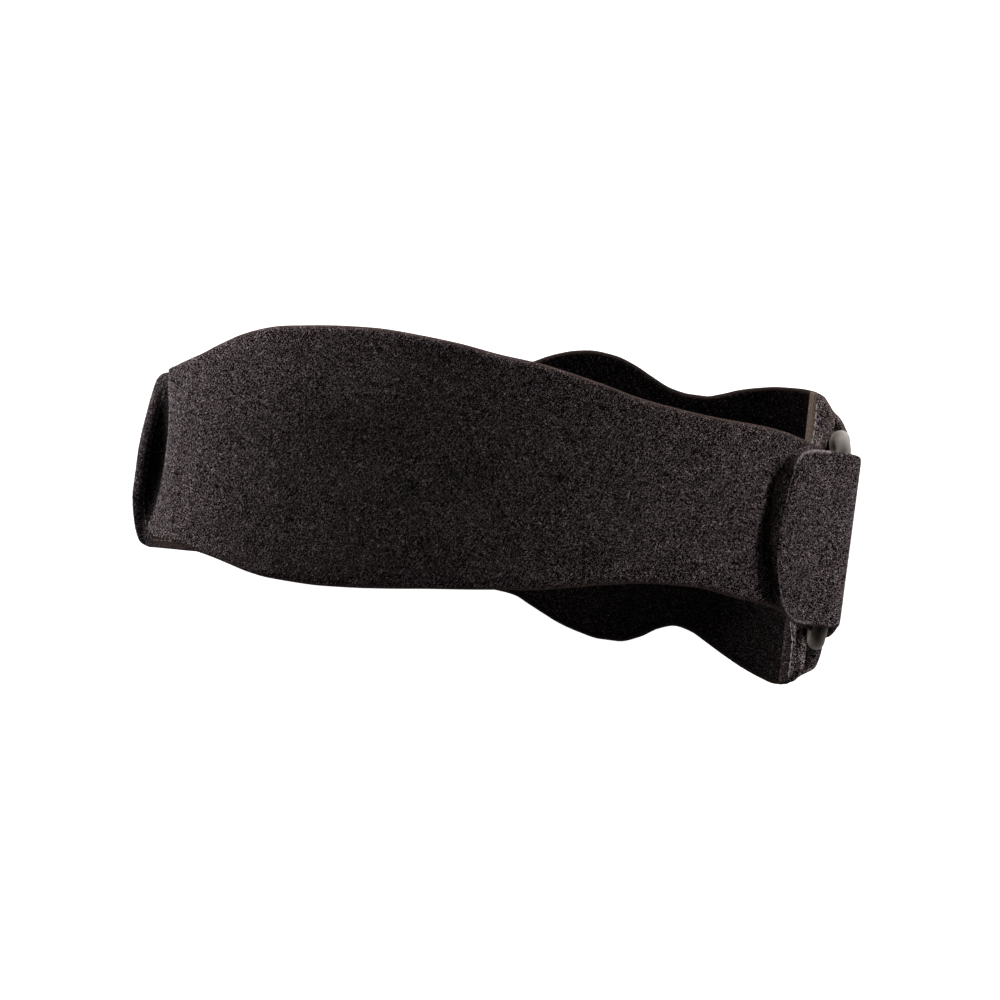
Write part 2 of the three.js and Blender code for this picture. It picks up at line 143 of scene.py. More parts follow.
class Run:
    """A smooth run in the XZ plane, asked for by distance along it."""

    def __init__(self, points):
        self.p = np.asarray(points, float)
        step = np.linalg.norm(np.diff(self.p, axis=0), axis=1)
        self.s = np.concatenate([[0.0], np.cumsum(step)])
        t = np.gradient(self.p, self.s, axis=0)
        self.t = t / np.linalg.norm(t, axis=1)[:, None]
        self.length = self.s[-1]

    def at(self, s):
        s = np.clip(s, 0, self.length)
        x, z, tx, tz = (np.interp(s, self.s, c) for c in (self.p[:, 0], self.p[:, 1], self.t[:, 0], self.t[:, 1]))
        n = np.sqrt(tx * tx + tz * tz)
        return x, z, tx / n, tz / n


def through(points, per=80):
    """Centripetal Catmull-Rom through the points."""
    p = np.asarray(points, float)
    q = np.vstack([2 * p[0] - p[1], p, 2 * p[-1] - p[-2]])
    u = np.linspace(0, 1, per, endpoint=False)[:, None]
    out = []
    for i in range(len(p) - 1):
        p0, p1, p2, p3 = q[i:i + 4]
        a, b, c = (math.sqrt(np.linalg.norm(e)) for e in (p1 - p0, p2 - p1, p3 - p2))
        t1 = ((p1 - p0) / a - (p2 - p0) / (a + b) + (p2 - p1) / b) * b
        t2 = ((p2 - p1) / b - (p3 - p1) / (b + c) + (p3 - p2) / c) * b
        out.append(p1 + t1 * u + (-3 * p1 + 3 * p2 - 2 * t1 - t2) * u ** 2 + (2 * p1 - 2 * p2 + t1 + t2) * u ** 3)
    return Run(np.vstack([*out, p[-1:]]))


def bent(start, heading, stretches):
    """Straight and round stretches, each (length, turn in degrees)."""
    x, z = start
    angle = math.radians(heading)
    pts = [(x, z)]
    for length, turn in stretches:
        n = max(2, int(length / 0.25))
        for _ in range(n):
            bend = math.radians(turn) / n
            d = length / n
            x += d * math.cos(angle + bend / 2)
            z += d * math.sin(angle + bend / 2)
            angle += bend
            pts.append((x, z))
    return Run(pts)


def arc(centre, radius, start, end, steps):
    a = np.radians(np.linspace(start, end, steps + 1))
    return [(centre[0] + radius * math.cos(v), centre[1] + radius * math.sin(v)) for v in a]


def waves(seed, count, shortest, longest):
    """A soft seeded relief: a sum of sine waves over (s, y), within about -1 to 1."""
    r = np.random.default_rng(seed)
    k = 2 * math.pi / r.uniform(shortest, longest, count)
    a, ph = r.uniform(0, math.pi, count), r.uniform(0, 2 * math.pi, count)

    def relief(s, y):
        total = 0.0
        for i in range(count):
            total = total + np.sin(k[i] * (s * np.cos(a[i]) + y * np.sin(a[i])) + ph[i])
        return total / math.sqrt(count * 2.0)

    return relief


# ---------------------------------------------------------------- a ribbon of cloth
class Cloth:
    """A ribbon of even thickness round a run, with a rounded rim all the way round it.
    edges(s) gives the two edges, warp(s, y) moves a point along the run and in X,
    relief(s, y) lifts the mid-surface, and plump(s, y) scales the thickness."""

    def __init__(self, run, edges, thickness, rim, warp=None, relief=None, plump=None):
        self.run, self.edges, self.half = run, edges, thickness / 2
        self.rim = rim if callable(rim) else (lambda s, y, side: rim + 0 * s)
        self.power = lambda s, y, side: 2.2 + 0 * s
        self.warp = warp or (lambda s, y: (s, 0 * s))
        self.relief = relief or (lambda s, y: 0 * s)
        self.plump = plump or (lambda s, y: 1 + 0 * s)
        fine = np.concatenate([[0, 0.1, 0.3], np.arange(0.6, run.length - 0.3, 0.6), [run.length - 0.3, run.length - 0.1, run.length]])
        top, bottom = edges(fine)
        a = np.concatenate([np.column_stack([fine, top]), np.column_stack([fine, bottom])[::-1]])
        self.outline = np.vstack([a, a[:1]])

    def depth(self, s, y):
        """How far a point is in from the outline, on the flat cloth."""
        a, b = self.outline[:-1], self.outline[1:]
        e = b - a
        ee = np.maximum((e * e).sum(1), 1e-9)
        flat = np.column_stack([np.ravel(s), np.ravel(y)])
        out = np.empty(len(flat))
        for i in range(0, len(flat), 3000):
            p = flat[i:i + 3000, None, :] - a[None]
            t = np.clip((p * e).sum(2) / ee, 0, 1)
            q = p - t[..., None] * e
            out[i:i + 3000] = np.sqrt((q * q).sum(2).min(1))
        return out.reshape(np.shape(s))

    def place(self, s, y, side, lift=0.0, depth=None):
        """Points on the upper (side 1) or lower (side -1) face, with the run's direction and the face's outward normal."""
        d = self.depth(s, y) if depth is None else depth
        q = np.clip(d / self.rim(s, y, side), 0, 1)
        power = self.power(s, y, side)
        full = np.maximum(1 - (1 - q) ** power, 0) ** (1 / power)
        w, dx = self.warp(s, y)
        x, z, tx, tz = self.run.at(w)
        off = side * (self.half * full * self.plump(s, y) + lift) + self.relief(s, y)
        p = np.stack([x + dx - tz * off, y, z + tx * off], -1)
        t = np.stack([tx, 0 * tx, tz], -1)
        n = np.stack([-tz, 0 * tx, tx], -1) * side
        return p, t, n

    def grid(self, rows, step):
        rows = np.asarray(rows)
        near = np.array([0, 0.03, 0.12, 0.27, 0.5, 0.8, 1.15])
        top, bottom = self.edges(rows)
        width = top - bottom
        inner = max(4, int(round((width.max() - 2.3) / step)))
        squeeze = np.minimum(1, width / 5.2)
        left = bottom[:, None] + near[None] * squeeze[:, None]
        right = top[:, None] - near[::-1][None] * squeeze[:, None]
        f = np.linspace(0, 1, inner + 1)[1:-1]
        mid = left[:, -1:] + (right[:, :1] - left[:, -1:]) * f[None]
        y = np.hstack([left, mid, right])
        s = np.repeat(rows[:, None], y.shape[1], 1)
        return s, y

    def mesh(self, rows, step):
        """Vertices, quads, and each vertex's depth, side, s and y."""
        s, y = self.grid(rows, step)
        d = self.depth(s, y)
        d[[0, -1], :] = 0
        d[:, [0, -1]] = 0
        up, _, _ = self.place(s, y, 1, depth=d)
        down, _, _ = self.place(s, y, -1, depth=d)
        ns, ny = s.shape
        upper = np.arange(ns * ny).reshape(ns, ny)
        edge = np.zeros((ns, ny), bool)
        edge[[0, -1], :] = edge[:, [0, -1]] = True
        lower = upper.copy()
        lower[~edge] = ns * ny + np.arange((~edge).sum())
        v = np.vstack([up.reshape(-1, 3), down[~edge]])

        def quads(g, flip):
            q = np.stack([g[:-1, :-1], g[1:, :-1], g[1:, 1:], g[:-1, 1:]], -1).reshape(-1, 4)
            return q[:, ::-1] if flip else q

        faces = np.vstack([quads(upper, False), quads(lower, True)])
        both = lambda a: np.concatenate([a.ravel(), a[~edge]])
        side = np.concatenate([np.ones(ns * ny), -np.ones((~edge).sum())])
        return v, faces, both(d), side, both(s), both(y)


def rows_for(run, step, fine, stretches=()):
    """Stations along a run: even, finer at both ends and in the given stretches."""
    ends = np.array([0, 0.03, 0.12, 0.27, 0.5, 0.8, 1.15, 1.6])
    list_ = [ends, run.length - ends, np.arange(1.6, run.length - 1.6, step)]
    for a, b in stretches:
        list_.append(np.arange(a, b, fine))
    s = np.unique(np.round(np.concatenate(list_), 4))
    keep = [s[0]]
    for v in s[1:]:
        closest = 0.6 * fine
        if v - keep[-1] >= closest or v < 1.7 or v > run.length - 1.7:
            keep.append(v)
    return np.array(keep)


def add(name, verts, faces, material, attributes=None, smooth_shading=True):
    """A mesh object in the shared frame, in metres."""
    me = bpy.data.meshes.new(name)
    me.from_pydata((np.asarray(verts) + SHIFT) * 0.001, [], np.asarray(faces))
    me.polygons.foreach_set("use_smooth", np.full(len(me.polygons), smooth_shading))
    for key, values in (attributes or {}).items():
        a = me.attributes.new(key, "FLOAT", "POINT")
        a.data.foreach_set("value", np.asarray(values, np.float32))
    me.materials.append(material)
    me.update()
    o = bpy.data.objects.new(name, me)
    bpy.context.scene.collection.objects.link(o)
    return o


# ---------------------------------------------------------------- materials
class Nodes:
    """Short calls for building a node tree."""

    def __init__(self, name):
        self.material = bpy.data.materials.new(name)
        self.material.use_nodes = True
        self.tree = self.material.node_tree
        self.tree.nodes.clear()
        self.out = self.tree.nodes.new("ShaderNodeOutputMaterial")

    def put(self, socket, value):
        if hasattr(value, "is_output") or isinstance(value, bpy.types.NodeSocket):
            self.tree.links.new(value, socket)
        else:
            socket.default_value = value

    def node(self, kind, inputs=None, out=0, **settings):
        n = self.tree.nodes.new(kind)
        for k, v in settings.items():
            setattr(n, k, v)
        for k, v in (inputs or {}).items():
            self.put(n.inputs[k], v)
        return n.outputs[out]

    def math(self, op, a, b=0.0, c=0.0, clamp=False):
        return self.node("ShaderNodeMath", {0: a, 1: b, 2: c}, operation=op, use_clamp=clamp)

    def noise(self, vector, scale, detail=2.0, rough=0.5, out=0):
        return self.node("ShaderNodeTexNoise", {"Vector": vector, "Scale": scale, "Detail": detail, "Roughness": rough}, out=out)

    def ramp(self, value, a, b):
        return self.node("ShaderNodeMapRange", {"Value": value, "From Min": a, "From Max": b, "To Min": 0.0, "To Max": 1.0}, interpolation_type="SMOOTHSTEP", clamp=True)

    def mix(self, f, a, b):
        n = self.tree.nodes.new("ShaderNodeMix")
        n.data_type = "RGBA"
        self.put(n.inputs[0], f)
        self.put(n.inputs[6], a)
        self.put(n.inputs[7], b)
        return n.outputs[2]

    def attribute(self, name):
        return self.node("ShaderNodeAttribute", out=2, attribute_name=name, attribute_type="GEOMETRY")


def cloth_material(name, dark, mid, pale, rim, loops=1.7, sheen=0.004, contrast=1.0):
    """Brushed loop cloth on foam: a network of tiny curled fibres over a dark ground, pinholes between
    them, slow mottling, and a smoother brown cut edge where the attribute "rim" is 1."""
    g = Nodes(name)
    co = g.node("ShaderNodeTexCoord", out=3)
    mm = g.node("ShaderNodeMapping", {"Vector": co, "Scale": (1000.0, 1000.0, 1000.0)})
    wob = g.noise(mm, 0.9, 2.0, 0.6, out=1)
    centred = g.node("ShaderNodeVectorMath", {0: wob, 1: (0.5, 0.5, 0.5)}, operation="SUBTRACT")
    pushed = g.node("ShaderNodeVectorMath", {0: centred, 1: (1.9, 1.9, 1.9)}, operation="MULTIPLY")
    bent_mm = g.node("ShaderNodeVectorMath", {0: mm, 1: pushed}, operation="ADD")

    def network(scale, width):
        e = g.node("ShaderNodeTexVoronoi", {"Vector": bent_mm, "Scale": scale, "Randomness": 1.0}, feature="DISTANCE_TO_EDGE", voronoi_dimensions="3D")
        return g.math("SUBTRACT", 1.0, g.ramp(e, 0.0, width))

    coarse = network(1.7 * loops, 0.16)
    fine = network(2.9 * loops, 0.20)
    broken = g.ramp(g.noise(mm, 1.9 * loops, 2.0, 0.6), 0.42, 0.58)
    broken2 = g.ramp(g.noise(mm, 3.1 * loops, 2.0, 0.6), 0.44, 0.60)
    coarse_lit = g.math("MULTIPLY", coarse, broken)
    fine_lit = g.math("MULTIPLY", fine, broken2)
    fibres = g.math("MAXIMUM", coarse_lit, g.math("MULTIPLY", fine_lit, 0.7))
    # tufts finer than a seventh of a millimetre: a few pale, most of them nearly black
    tuft = g.node("ShaderNodeTexVoronoi", {"Vector": bent_mm, "Scale": 4.2 * loops, "Randomness": 1.0}, feature="F1", voronoi_dimensions="3D").node
    apart = g.node("ShaderNodeSeparateColor", {0: tuft.outputs["Color"]})
    dot = g.math("SUBTRACT", 1.0, g.ramp(tuft.outputs["Distance"], 0.30, 0.64))
    chance = g.math("ADD", apart, g.math("MULTIPLY", fibres, 0.12))
    fibres = g.math("MULTIPLY", g.ramp(chance, 0.66, 1.0), dot)
    body = g.noise(mm, 2.6 * loops, 2.0, 0.7)
    body_lit = g.math("MULTIPLY", g.ramp(body, 0.44, 0.66), g.math("ADD", g.math("MULTIPLY", dot, 0.75), 0.25))
    slow = g.noise(mm, 0.06, 3.0, 0.55)
    ground = g.mix(body_lit, dark, mid)
    colour = g.mix(g.math("MULTIPLY", fibres, contrast), ground, pale)
    # slow mottling, a little either way
    mott = g.node("ShaderNodeMapRange", {"Value": slow, "From Min": 0.3, "From Max": 0.7, "To Min": 0.86, "To Max": 1.14})
    # the attribute "tone" scales the colour, and on several pieces it carries painted light and shade
    tone = g.attribute("tone")
    gain = g.math("MULTIPLY", mott, tone)
    shaded = g.node("ShaderNodeVectorMath", {0: colour}, operation="SCALE")
    g.put(shaded.node.inputs["Scale"], gain)
    edge = g.attribute("rim")
    grain = g.noise(mm, 3.2, 3.0, 0.7)
    rim_colour = g.mix(g.ramp(grain, 0.3, 0.72), tuple(c * 0.55 for c in rim[:3]) + (1,), rim)
    edge_soft = g.math("MULTIPLY", edge, g.node("ShaderNodeMapRange", {"Value": g.noise(mm, 1.2, 2.0), "From Min": 0.3, "From Max": 0.65, "To Min": 0.7, "To Max": 1.0}))
    # the attribute "edge_tone" scales the cut edge's colour, on several pieces as painted light and shade
    rim_shaded = g.node("ShaderNodeVectorMath", {0: rim_colour}, operation="SCALE")
    g.put(rim_shaded.node.inputs["Scale"], g.attribute("edge_tone"))
    colour = g.mix(edge_soft, shaded, rim_shaded)
    height = g.math("ADD", g.math("MULTIPLY", fibres, 0.8), g.math("MULTIPLY", body, 0.5))
    height = g.math("ADD", height, g.math("MULTIPLY", dot, 0.35))
    height = g.math("ADD", height, g.math("MULTIPLY", grain, 0.25))
    flat = g.math("SUBTRACT", 1.0, g.math("MULTIPLY", edge, 0.65))
    height = g.math("MULTIPLY", height, flat)
    bump = g.node("ShaderNodeBump", {"Strength": 0.9, "Distance": 0.00020, "Height": height})
    rough = g.node("ShaderNodeMapRange", {"Value": fibres, "From Min": 0.0, "From Max": 1.0, "To Min": 0.97, "To Max": 0.78})
    b = g.node("ShaderNodeBsdfPrincipled", {"Base Color": colour, "Roughness": rough, "Normal": bump}).node
    b.inputs["Specular IOR Level"].default_value = 0.0
    b.inputs["Sheen Weight"].default_value = sheen
    b.inputs["Sheen Roughness"].default_value = 0.42
    b.inputs["Sheen Tint"].default_value = (0.62, 0.57, 0.56, 1)
    g.tree.links.new(b.outputs[0], g.out.inputs[0])
    return g.material


def fibre_material(name, low, high, sheen=0.1):
    """Curled fibres that stand on the cloth; the attribute "shade" runs from dark to pale."""
    g = Nodes(name)
    co = g.node("ShaderNodeTexCoord", out=3)
    mm = g.node("ShaderNodeMapping", {"Vector": co, "Scale": (1000.0, 1000.0, 1000.0)})
    along = g.ramp(g.noise(mm, 2.2, 2.0), 0.3, 0.7)
    shade = g.math("MULTIPLY", g.attribute("shade"), g.math("ADD", g.math("MULTIPLY", along, 0.45), 0.65), clamp=True)
    colour = g.mix(shade, low, high)
    bump = g.node("ShaderNodeBump", {"Strength": 0.3, "Distance": 0.00003, "Height": g.noise(mm, 9.0, 2.0)})
    b = g.node("ShaderNodeBsdfPrincipled", {"Base Color": colour, "Roughness": g.math("ADD", g.math("MULTIPLY", along, 0.2), 0.5), "Normal": bump}).node
    b.inputs["Specular IOR Level"].default_value = 0.05
    b.inputs["Sheen Weight"].default_value = sheen
    b.inputs["Sheen Roughness"].default_value = 0.4
    g.tree.links.new(b.outputs[0], g.out.inputs[0])
    return g.material


def thread_material(name, low, high, gloss=0.35, sheen=0.2):
    """Twisted sewing thread."""
    g = Nodes(name)
    co = g.node("ShaderNodeTexCoord", out=3)
    mm = g.node("ShaderNodeMapping", {"Vector": co, "Scale": (1000.0, 1000.0, 1000.0)})
    twist = g.node("ShaderNodeTexWave", {"Vector": mm, "Scale": 1.4, "Distortion": 2.0, "Detail": 1.0}, out=1, bands_direction="DIAGONAL")
    grain = g.noise(mm, 2.8, 3.0, 0.6)
    f = g.math("MULTIPLY", g.math("ADD", g.math("MULTIPLY", twist, 0.5), 0.5), g.ramp(grain, 0.25, 0.7), clamp=True)
    colour = g.mix(f, low, high)
    bump = g.node("ShaderNodeBump", {"Strength": 0.6, "Distance": 0.00006, "Height": twist})
    b = g.node("ShaderNodeBsdfPrincipled", {"Base Color": colour, "Roughness": g.math("ADD", g.math("MULTIPLY", grain, 0.3), 0.45), "Normal": bump}).node
    b.inputs["Specular IOR Level"].default_value = gloss
    b.inputs["Sheen Weight"].default_value = sheen
    g.tree.links.new(b.outputs[0], g.out.inputs[0])
    return g.material


def plastic_material(name, colour, worn_and_highlight):
    """Satin moulded plastic: fine moulding grain, light scuffs and a slightly paler wear, plus a painted highlight
    where the attribute "pale" is high.
    """
    g = Nodes(name)
    co = g.node("ShaderNodeTexCoord", out=3)
    mm = g.node("ShaderNodeMapping", {"Vector": co, "Scale": (1000.0, 1000.0, 1000.0)})
    slow = g.ramp(g.noise(mm, 0.25, 3.0), 0.35, 0.7)
    grain = g.noise(mm, 5.0, 3.0, 0.6)
    streak = g.node("ShaderNodeMapping", {"Vector": mm, "Scale": (3.0, 0.25, 3.0)})
    scuff = g.ramp(g.noise(streak, 1.4, 4.0, 0.65), 0.52, 0.72)
    wear = g.math("ADD", g.math("MULTIPLY", slow, 0.10), g.math("MULTIPLY", scuff, 0.08))
    # the paler colour serves both the wear and the painted highlight given by "pale"
    c = g.mix(g.math("ADD", wear, g.math("MULTIPLY", g.attribute("pale"), 0.8), clamp=True), colour, worn_and_highlight)
    rough = g.math("ADD", g.math("MULTIPLY", grain, 0.16), g.math("ADD", g.math("MULTIPLY", scuff, 0.10), 0.44))
    bump = g.node("ShaderNodeBump", {"Strength": 0.25, "Distance": 0.00003, "Height": g.math("ADD", grain, g.math("MULTIPLY", scuff, 0.5))})
    b = g.node("ShaderNodeBsdfPrincipled", {"Base Color": c, "Roughness": rough, "Normal": bump}).node
    b.inputs["Specular IOR Level"].default_value = 0.06
    g.tree.links.new(b.outputs[0], g.out.inputs[0])
    return g.material


BAND_CLOTH = cloth_material(
    "band_cloth", (0.0003, 0.0002, 0.0002, 1), (0.0145, 0.009, 0.0083, 1), (0.72, 0.577, 0.592, 1), (0.046, 0.032, 0.028, 1))
PAD_CLOTH = cloth_material(
    "pad_cloth", (0.0004, 0.0003, 0.0003, 1), (0.0075, 0.0052, 0.0050, 1), (0.075, 0.062, 0.065, 1), (0.040, 0.028, 0.0245, 1), sheen=0.002)
KEEPER_CLOTH = cloth_material(
    "keeper_cloth", (0.0006, 0.0004, 0.0004, 1), (0.034, 0.0235, 0.022, 1), (0.85, 0.705, 0.725, 1), (0.052, 0.0375, 0.030, 1))
BAND_FIBRE = fibre_material("band_fibre", (0.004, 0.0025, 0.0025, 1), (0.66, 0.56, 0.575, 1), sheen=0.0)
PAD_FIBRE = fibre_material("pad_fibre", (0.001, 0.0008, 0.0008, 1), (0.050, 0.043, 0.045, 1), sheen=0.0)
PALE_THREAD = thread_material("pale_thread", (0.10, 0.088, 0.078, 1), (0.46, 0.43, 0.40, 1))
DARK_THREAD = thread_material("dark_thread", (0.0016, 0.0013, 0.0013, 1), (0.004, 0.003, 0.003, 1), gloss=0.0, sheen=0.0)
LIP_THREAD = thread_material("lip_thread", (0.05, 0.045, 0.043, 1), (0.24, 0.22, 0.215, 1))
RING_PLASTIC = plastic_material("ring_plastic", (0.046, 0.037, 0.031, 1), (0.28, 0.255, 0.24, 1))


# ---------------------------------------------------------------- fibres and stitches
def fibre_mesh(p, t, n, length, bend, radius, lift, shade, turn, tilt=0.0):
    """Curled fibres lying on a surface at points p, each a spindle of 12 triangles.
    t and n are the surface's direction and normal there, turn the fibre's angle in the
    surface, and tilt raises its far end."""
    b = np.cross(n, t)
    c, s = np.cos(turn)[:, None], np.sin(turn)[:, None]
    along, side = t * c + b * s, -t * s + b * c
    centres = []
    for u in (-1.0, -0.36, 0.36, 1.0):
        a = bend * u / 2
        r = length / np.maximum(np.abs(bend), 1e-3)
        x = r * np.sin(a)
        y = r * (1 - np.cos(a)) * np.sign(bend)
        h = lift * (1 - u * u) - 0.02 + tilt * (u + 1) / 2
        centres.append(p + along * x[:, None] + side * y[:, None] + n * h[:, None])
    k = len(p)
    v = np.empty((k, 8, 3))
    v[:, 0], v[:, 7] = centres[0], centres[3]
    for j, centre in ((1, centres[1]), (4, centres[2])):
        for i, angle in enumerate((90, 210, 330)):
            q = math.radians(angle)
            v[:, j + i] = centre + (n * math.sin(q) + side * math.cos(q)) * radius[:, None]
    base = np.array([
        [0, 2, 1], [0, 3, 2], [0, 1, 3],
        [1, 2, 5], [1, 5, 4], [2, 3, 6], [2, 6, 5], [3, 1, 4], [3, 4, 6],
        [7, 4, 5], [7, 5, 6], [7, 6, 4],
    ])
    f = (base[None] + 8 * np.arange(k)[:, None, None]).reshape(-1, 3)
    return v.reshape(-1, 3), f, np.repeat(shade, 8)


def scatter(cloth, count, s_from, s_to, side, keep=None, in_from=0.0):
    """Evenly spread points on a cloth's face: s, y and how far each is in from the outline."""
    i = np.arange(count)
    s = s_from + (s_to - s_from) * ((0.37 + i * 0.7548776662466927) % 1.0)
    top, bottom = cloth.edges(s)
    highest, lowest = top.max(), bottom.min()
    y = lowest + (highest - lowest) * ((0.61 + i * 0.5698402909980532) % 1.0)
    jitter = 0.12
    s = np.clip(s + RNG.uniform(-jitter, jitter, count), s_from, s_to)
    y = y + RNG.uniform(-jitter, jitter, count)
    taken = (y < top - in_from - 0.02) & (y > bottom + in_from + 0.02)
    s, y = s[taken], y[taken]
    if keep is not None:
        k = keep(s, y)
        s, y = s[k], y[k]
    return s, y, cloth.depth(s, y)


def fibres_on(cloth, s, y, depth, side, length=(0.12, 0.31), bend=(0.6, 3.0), radius=(0.036, 0.062), lift=(0.03, 0.11), pale=1.0, tilt=0.0):
    p, t, n = cloth.place(s, y, side, depth=depth)
    k = len(s)
    sign = np.where(RNG.uniform(size=k) < 0.5, -1, 1)
    shade = np.clip(RNG.beta(1.0, 2.3, k) * 1.35 * pale, 0, 1)
    return fibre_mesh(
        p, t, n, RNG.uniform(*length, k), RNG.uniform(*bend, k) * sign, RNG.uniform(*radius, k),
        RNG.uniform(*lift, k), shade, RNG.uniform(0, 2 * math.pi, k), tilt=tilt)


def joined(*parts):
    """Several (vertices, faces, value) sets as one."""
    v, f, a, n = [], [], [], 0
    for pv, pf, pa in parts:
        v.append(pv)
        f.append(pf + n)
        a.append(pa)
        n += len(pv)
    return np.vstack(v), np.vstack(f), np.concatenate(a)


def stitch_mesh(starts, ends, normals, radius, sag, sides=6):
    """Thread stitches from start to end, each an arched capsule that dips into the cloth at its ends."""
    stations = np.array([0.0, 0.06, 0.2, 0.5, 0.8, 0.94, 1.0])
    girth = np.array([0.0, 0.62, 0.95, 1.0, 0.95, 0.62, 0.0])
    verts, faces, count = [], [], 0
    for a, b, n in zip(starts, ends, normals):
        t = (b - a) / np.linalg.norm(b - a)
        side = np.cross(n, t)
        rings = []
        for u, g in zip(stations, girth):
            c = a + (b - a) * u + n * (sag * (4 * u * (1 - u)) ** 0.7 - 0.45 * radius)
            if g == 0:
                rings.append([c])
                continue
            rings.append([c + (n * math.sin(q) * 0.85 + side * math.cos(q)) * radius * g for q in np.linspace(0, 2 * math.pi, sides, endpoint=False)])
        index, at = [], count
        for r in rings:
            index.append(list(range(at, at + len(r))))
            at += len(r)
            verts.extend(r)
        for r0, r1 in zip(index[:-1], index[1:]):
            for i in range(sides):
                j = (i + 1) % sides
                if len(r0) == 1:
                    faces.append((r0[0], r1[j], r1[i]))
                elif len(r1) == 1:
                    faces.append((r0[i], r0[j], r1[0]))
                else:
                    faces.append((r0[i], r0[j], r1[j]))
                    faces.append((r0[i], r1[j], r1[i]))
        count = at
    return np.array(verts), np.array(faces)


# ---------------------------------------------------------------- main band
wrap = arc(UPPER_BAR, RING_ROD / 2 + GAP + BAND_THICKNESS / 2, -136, 60, 8)
band_run = through([*BAND_ARCH, *wrap, *TAB_LINE])
_s = np.arange(band_run.length * 0.5, band_run.length, 0.05)
PASSED = _s[np.argmax(band_run.at(_s)[0] > wrap[0][0])]
_top, _bottom = smooth(BAND_EDGES, 1), smooth(BAND_EDGES, 2)
_fold_top, _fold_bottom = smooth(FOLD_EDGES, 1), smooth(FOLD_EDGES, 2)
_tip_top, _tip_bottom = smooth(TAB_TIP, 1), smooth(TAB_TIP, 2)


def cut_reach(y):
    """How far the tab's inner layer stands out past its outer face, by y."""
    return np.interp(y, [-14, -11.4, -5.6, 0, 5.7, 11.4, 14.2, 17.0, 19.0], [0, 0.8, 1.3, 1.6, 1.7, 2.3, 1.6, 0.4, 0])


def past_tip(s, y):
    """How far back from the tab's outline a point is, measured along the tab."""
    rows = np.array(TAB_TIP)
    edge = np.where(y > 0.6, np.interp(y, rows[:, 1], rows[:, 0]), np.interp(-y, -rows[:, 2], rows[:, 0]))
    return band_run.length - s - edge


def band_warp(s, y):
    fade = np.maximum(0, 1 - s / LEFT_END["fade"])
    out = np.minimum(1.2, np.abs(y - LEFT_END["centre"]) / LEFT_END["half"]) ** 2
    tab = np.clip(1 - past_tip(s, y) / (0.4 + 0.75 * cut_reach(y)), 0, 1) * (s > PASSED + 8)
    return s + LEFT_END["rise"] * out * fade, -LEFT_END["reach"] * out * fade * fade - cut_reach(y) * tab


def shown_at(s, y):
    """Where in X the band's edge comes to lie, seen from the front."""
    w, dx = band_warp(s, y)
    x, _, _, tz = band_run.at(w)
    return x + dx - tz * BAND_THICKNESS / 4


def band_edges(s):
    s = np.asarray(s, float)
    x, z, _, _ = band_run.at(s)
    back = band_run.length - s
    angle = np.degrees(np.arctan2(z - UPPER_BAR[1], x - UPPER_BAR[0]))
    past = s > PASSED
    tab = past & (angle > FOLD_EDGES[-1][0])
    top = np.where(tab, TAB_TOP, np.where(past, _fold_top(angle), _top(shown_at(s, TAB_TOP))))
    bottom = np.where(tab, TAB_BOTTOM, np.where(past, _fold_bottom(angle), _bottom(shown_at(s, TAB_BOTTOM))))
    tip = back < TAB_TIP[-1][0]
    return np.where(tip, _tip_top(back), top), np.where(tip, _tip_bottom(back), bottom)


band_waves = waves(3, 9, 14, 34)
DIMPLE = (11.7, 6.3)


def band_s(x):
    """Distance along the front of the band at a place in X."""
    s = np.linspace(0, PASSED, 3000)
    return float(np.interp(x, band_run.at(s)[0][60:], s[60:]))


DIMPLE_S = band_s(DIMPLE[0])


def band_relief(s, y):
    calm = np.clip((PASSED - 4 - s) / 12, 0, 1) * np.clip(s / 20, 0, 1)
    dent = np.exp(-(((s - DIMPLE_S) / 0.75) ** 2 + ((y - DIMPLE[1]) / 0.75) ** 2))
    return 0.11 * band_waves(s, y) * calm - 0.55 * dent


def fold_start(angle):
    """Distance along the band where it is at that angle round the upper bar."""
    s = np.arange(PASSED, band_run.length, 0.05)
    x, z, _, _ = band_run.at(s)
    return s[np.argmax(np.degrees(np.arctan2(z - UPPER_BAR[1], x - UPPER_BAR[0])) > angle)]


def tab_cut(s, y):
    """How strongly the tab's cut end slants, 0 at its corners and away from it."""
    near = np.clip((7.0 - (band_run.length - s)) / 2.0, 0, 1)
    return near * np.clip(cut_reach(y) / 1.7, 0, 1.2)


def band_rim(s, y, side):
    """The cut end of the tab slants, so its outer face stops short of its inner one."""
    tab = s > PASSED + 8
    if np.ndim(side) == 0 and side < 0:
        return np.where(tab, 0.7 + 0.75 * tab_cut(s, y), 1.2)
    return np.where(tab, 0.7, 1.3)


band = Cloth(band_run, band_edges, BAND_THICKNESS, band_rim, warp=band_warp, relief=band_relief)
band.power = lambda s, y, side: 2.2 - 1.0 * tab_cut(s, y) * (side < 0)
band_rows = rows_for(band_run, 0.8, 0.35, [(0.5, 8), (DIMPLE_S - 2, DIMPLE_S + 2), (PASSED - 3, band_run.length - 12), (band_run.length - 6, band_run.length - 1)])
v, f, depth, side, vs, vy = band.mesh(band_rows, 0.8)
on_tab = (vs > PASSED + 8) & (side < 0)
cut = tab_cut(vs, vy) * on_tab
rim_width = np.where(on_tab, 0.25 + 0.85 * cut, np.where(vs > PASSED, 0.3, 1.0))
rim = np.clip(1.25 - depth / rim_width, 0, 1) ** 1.2
# painted shade: the colour below is darkened in the small dent
dent = np.exp(-(((vs - DIMPLE_S) / 0.8) ** 2 + ((vy - DIMPLE[1]) / 0.8) ** 2))


def painted_upper_left_light(x, y):
    """Painted light: the colour is paler towards the band's left end and upper left edge, where the light falls most
    strongly.
    """
    return 1 + 0.42 * np.clip((-58 - x) / 10, 0, 1) * (1 - np.clip((-69.0 - x) / 4, 0, 1)) + 0.4 * np.clip((y - 8) / 20, 0, 1) * np.clip((-x - 10) / 30, 0, 1)
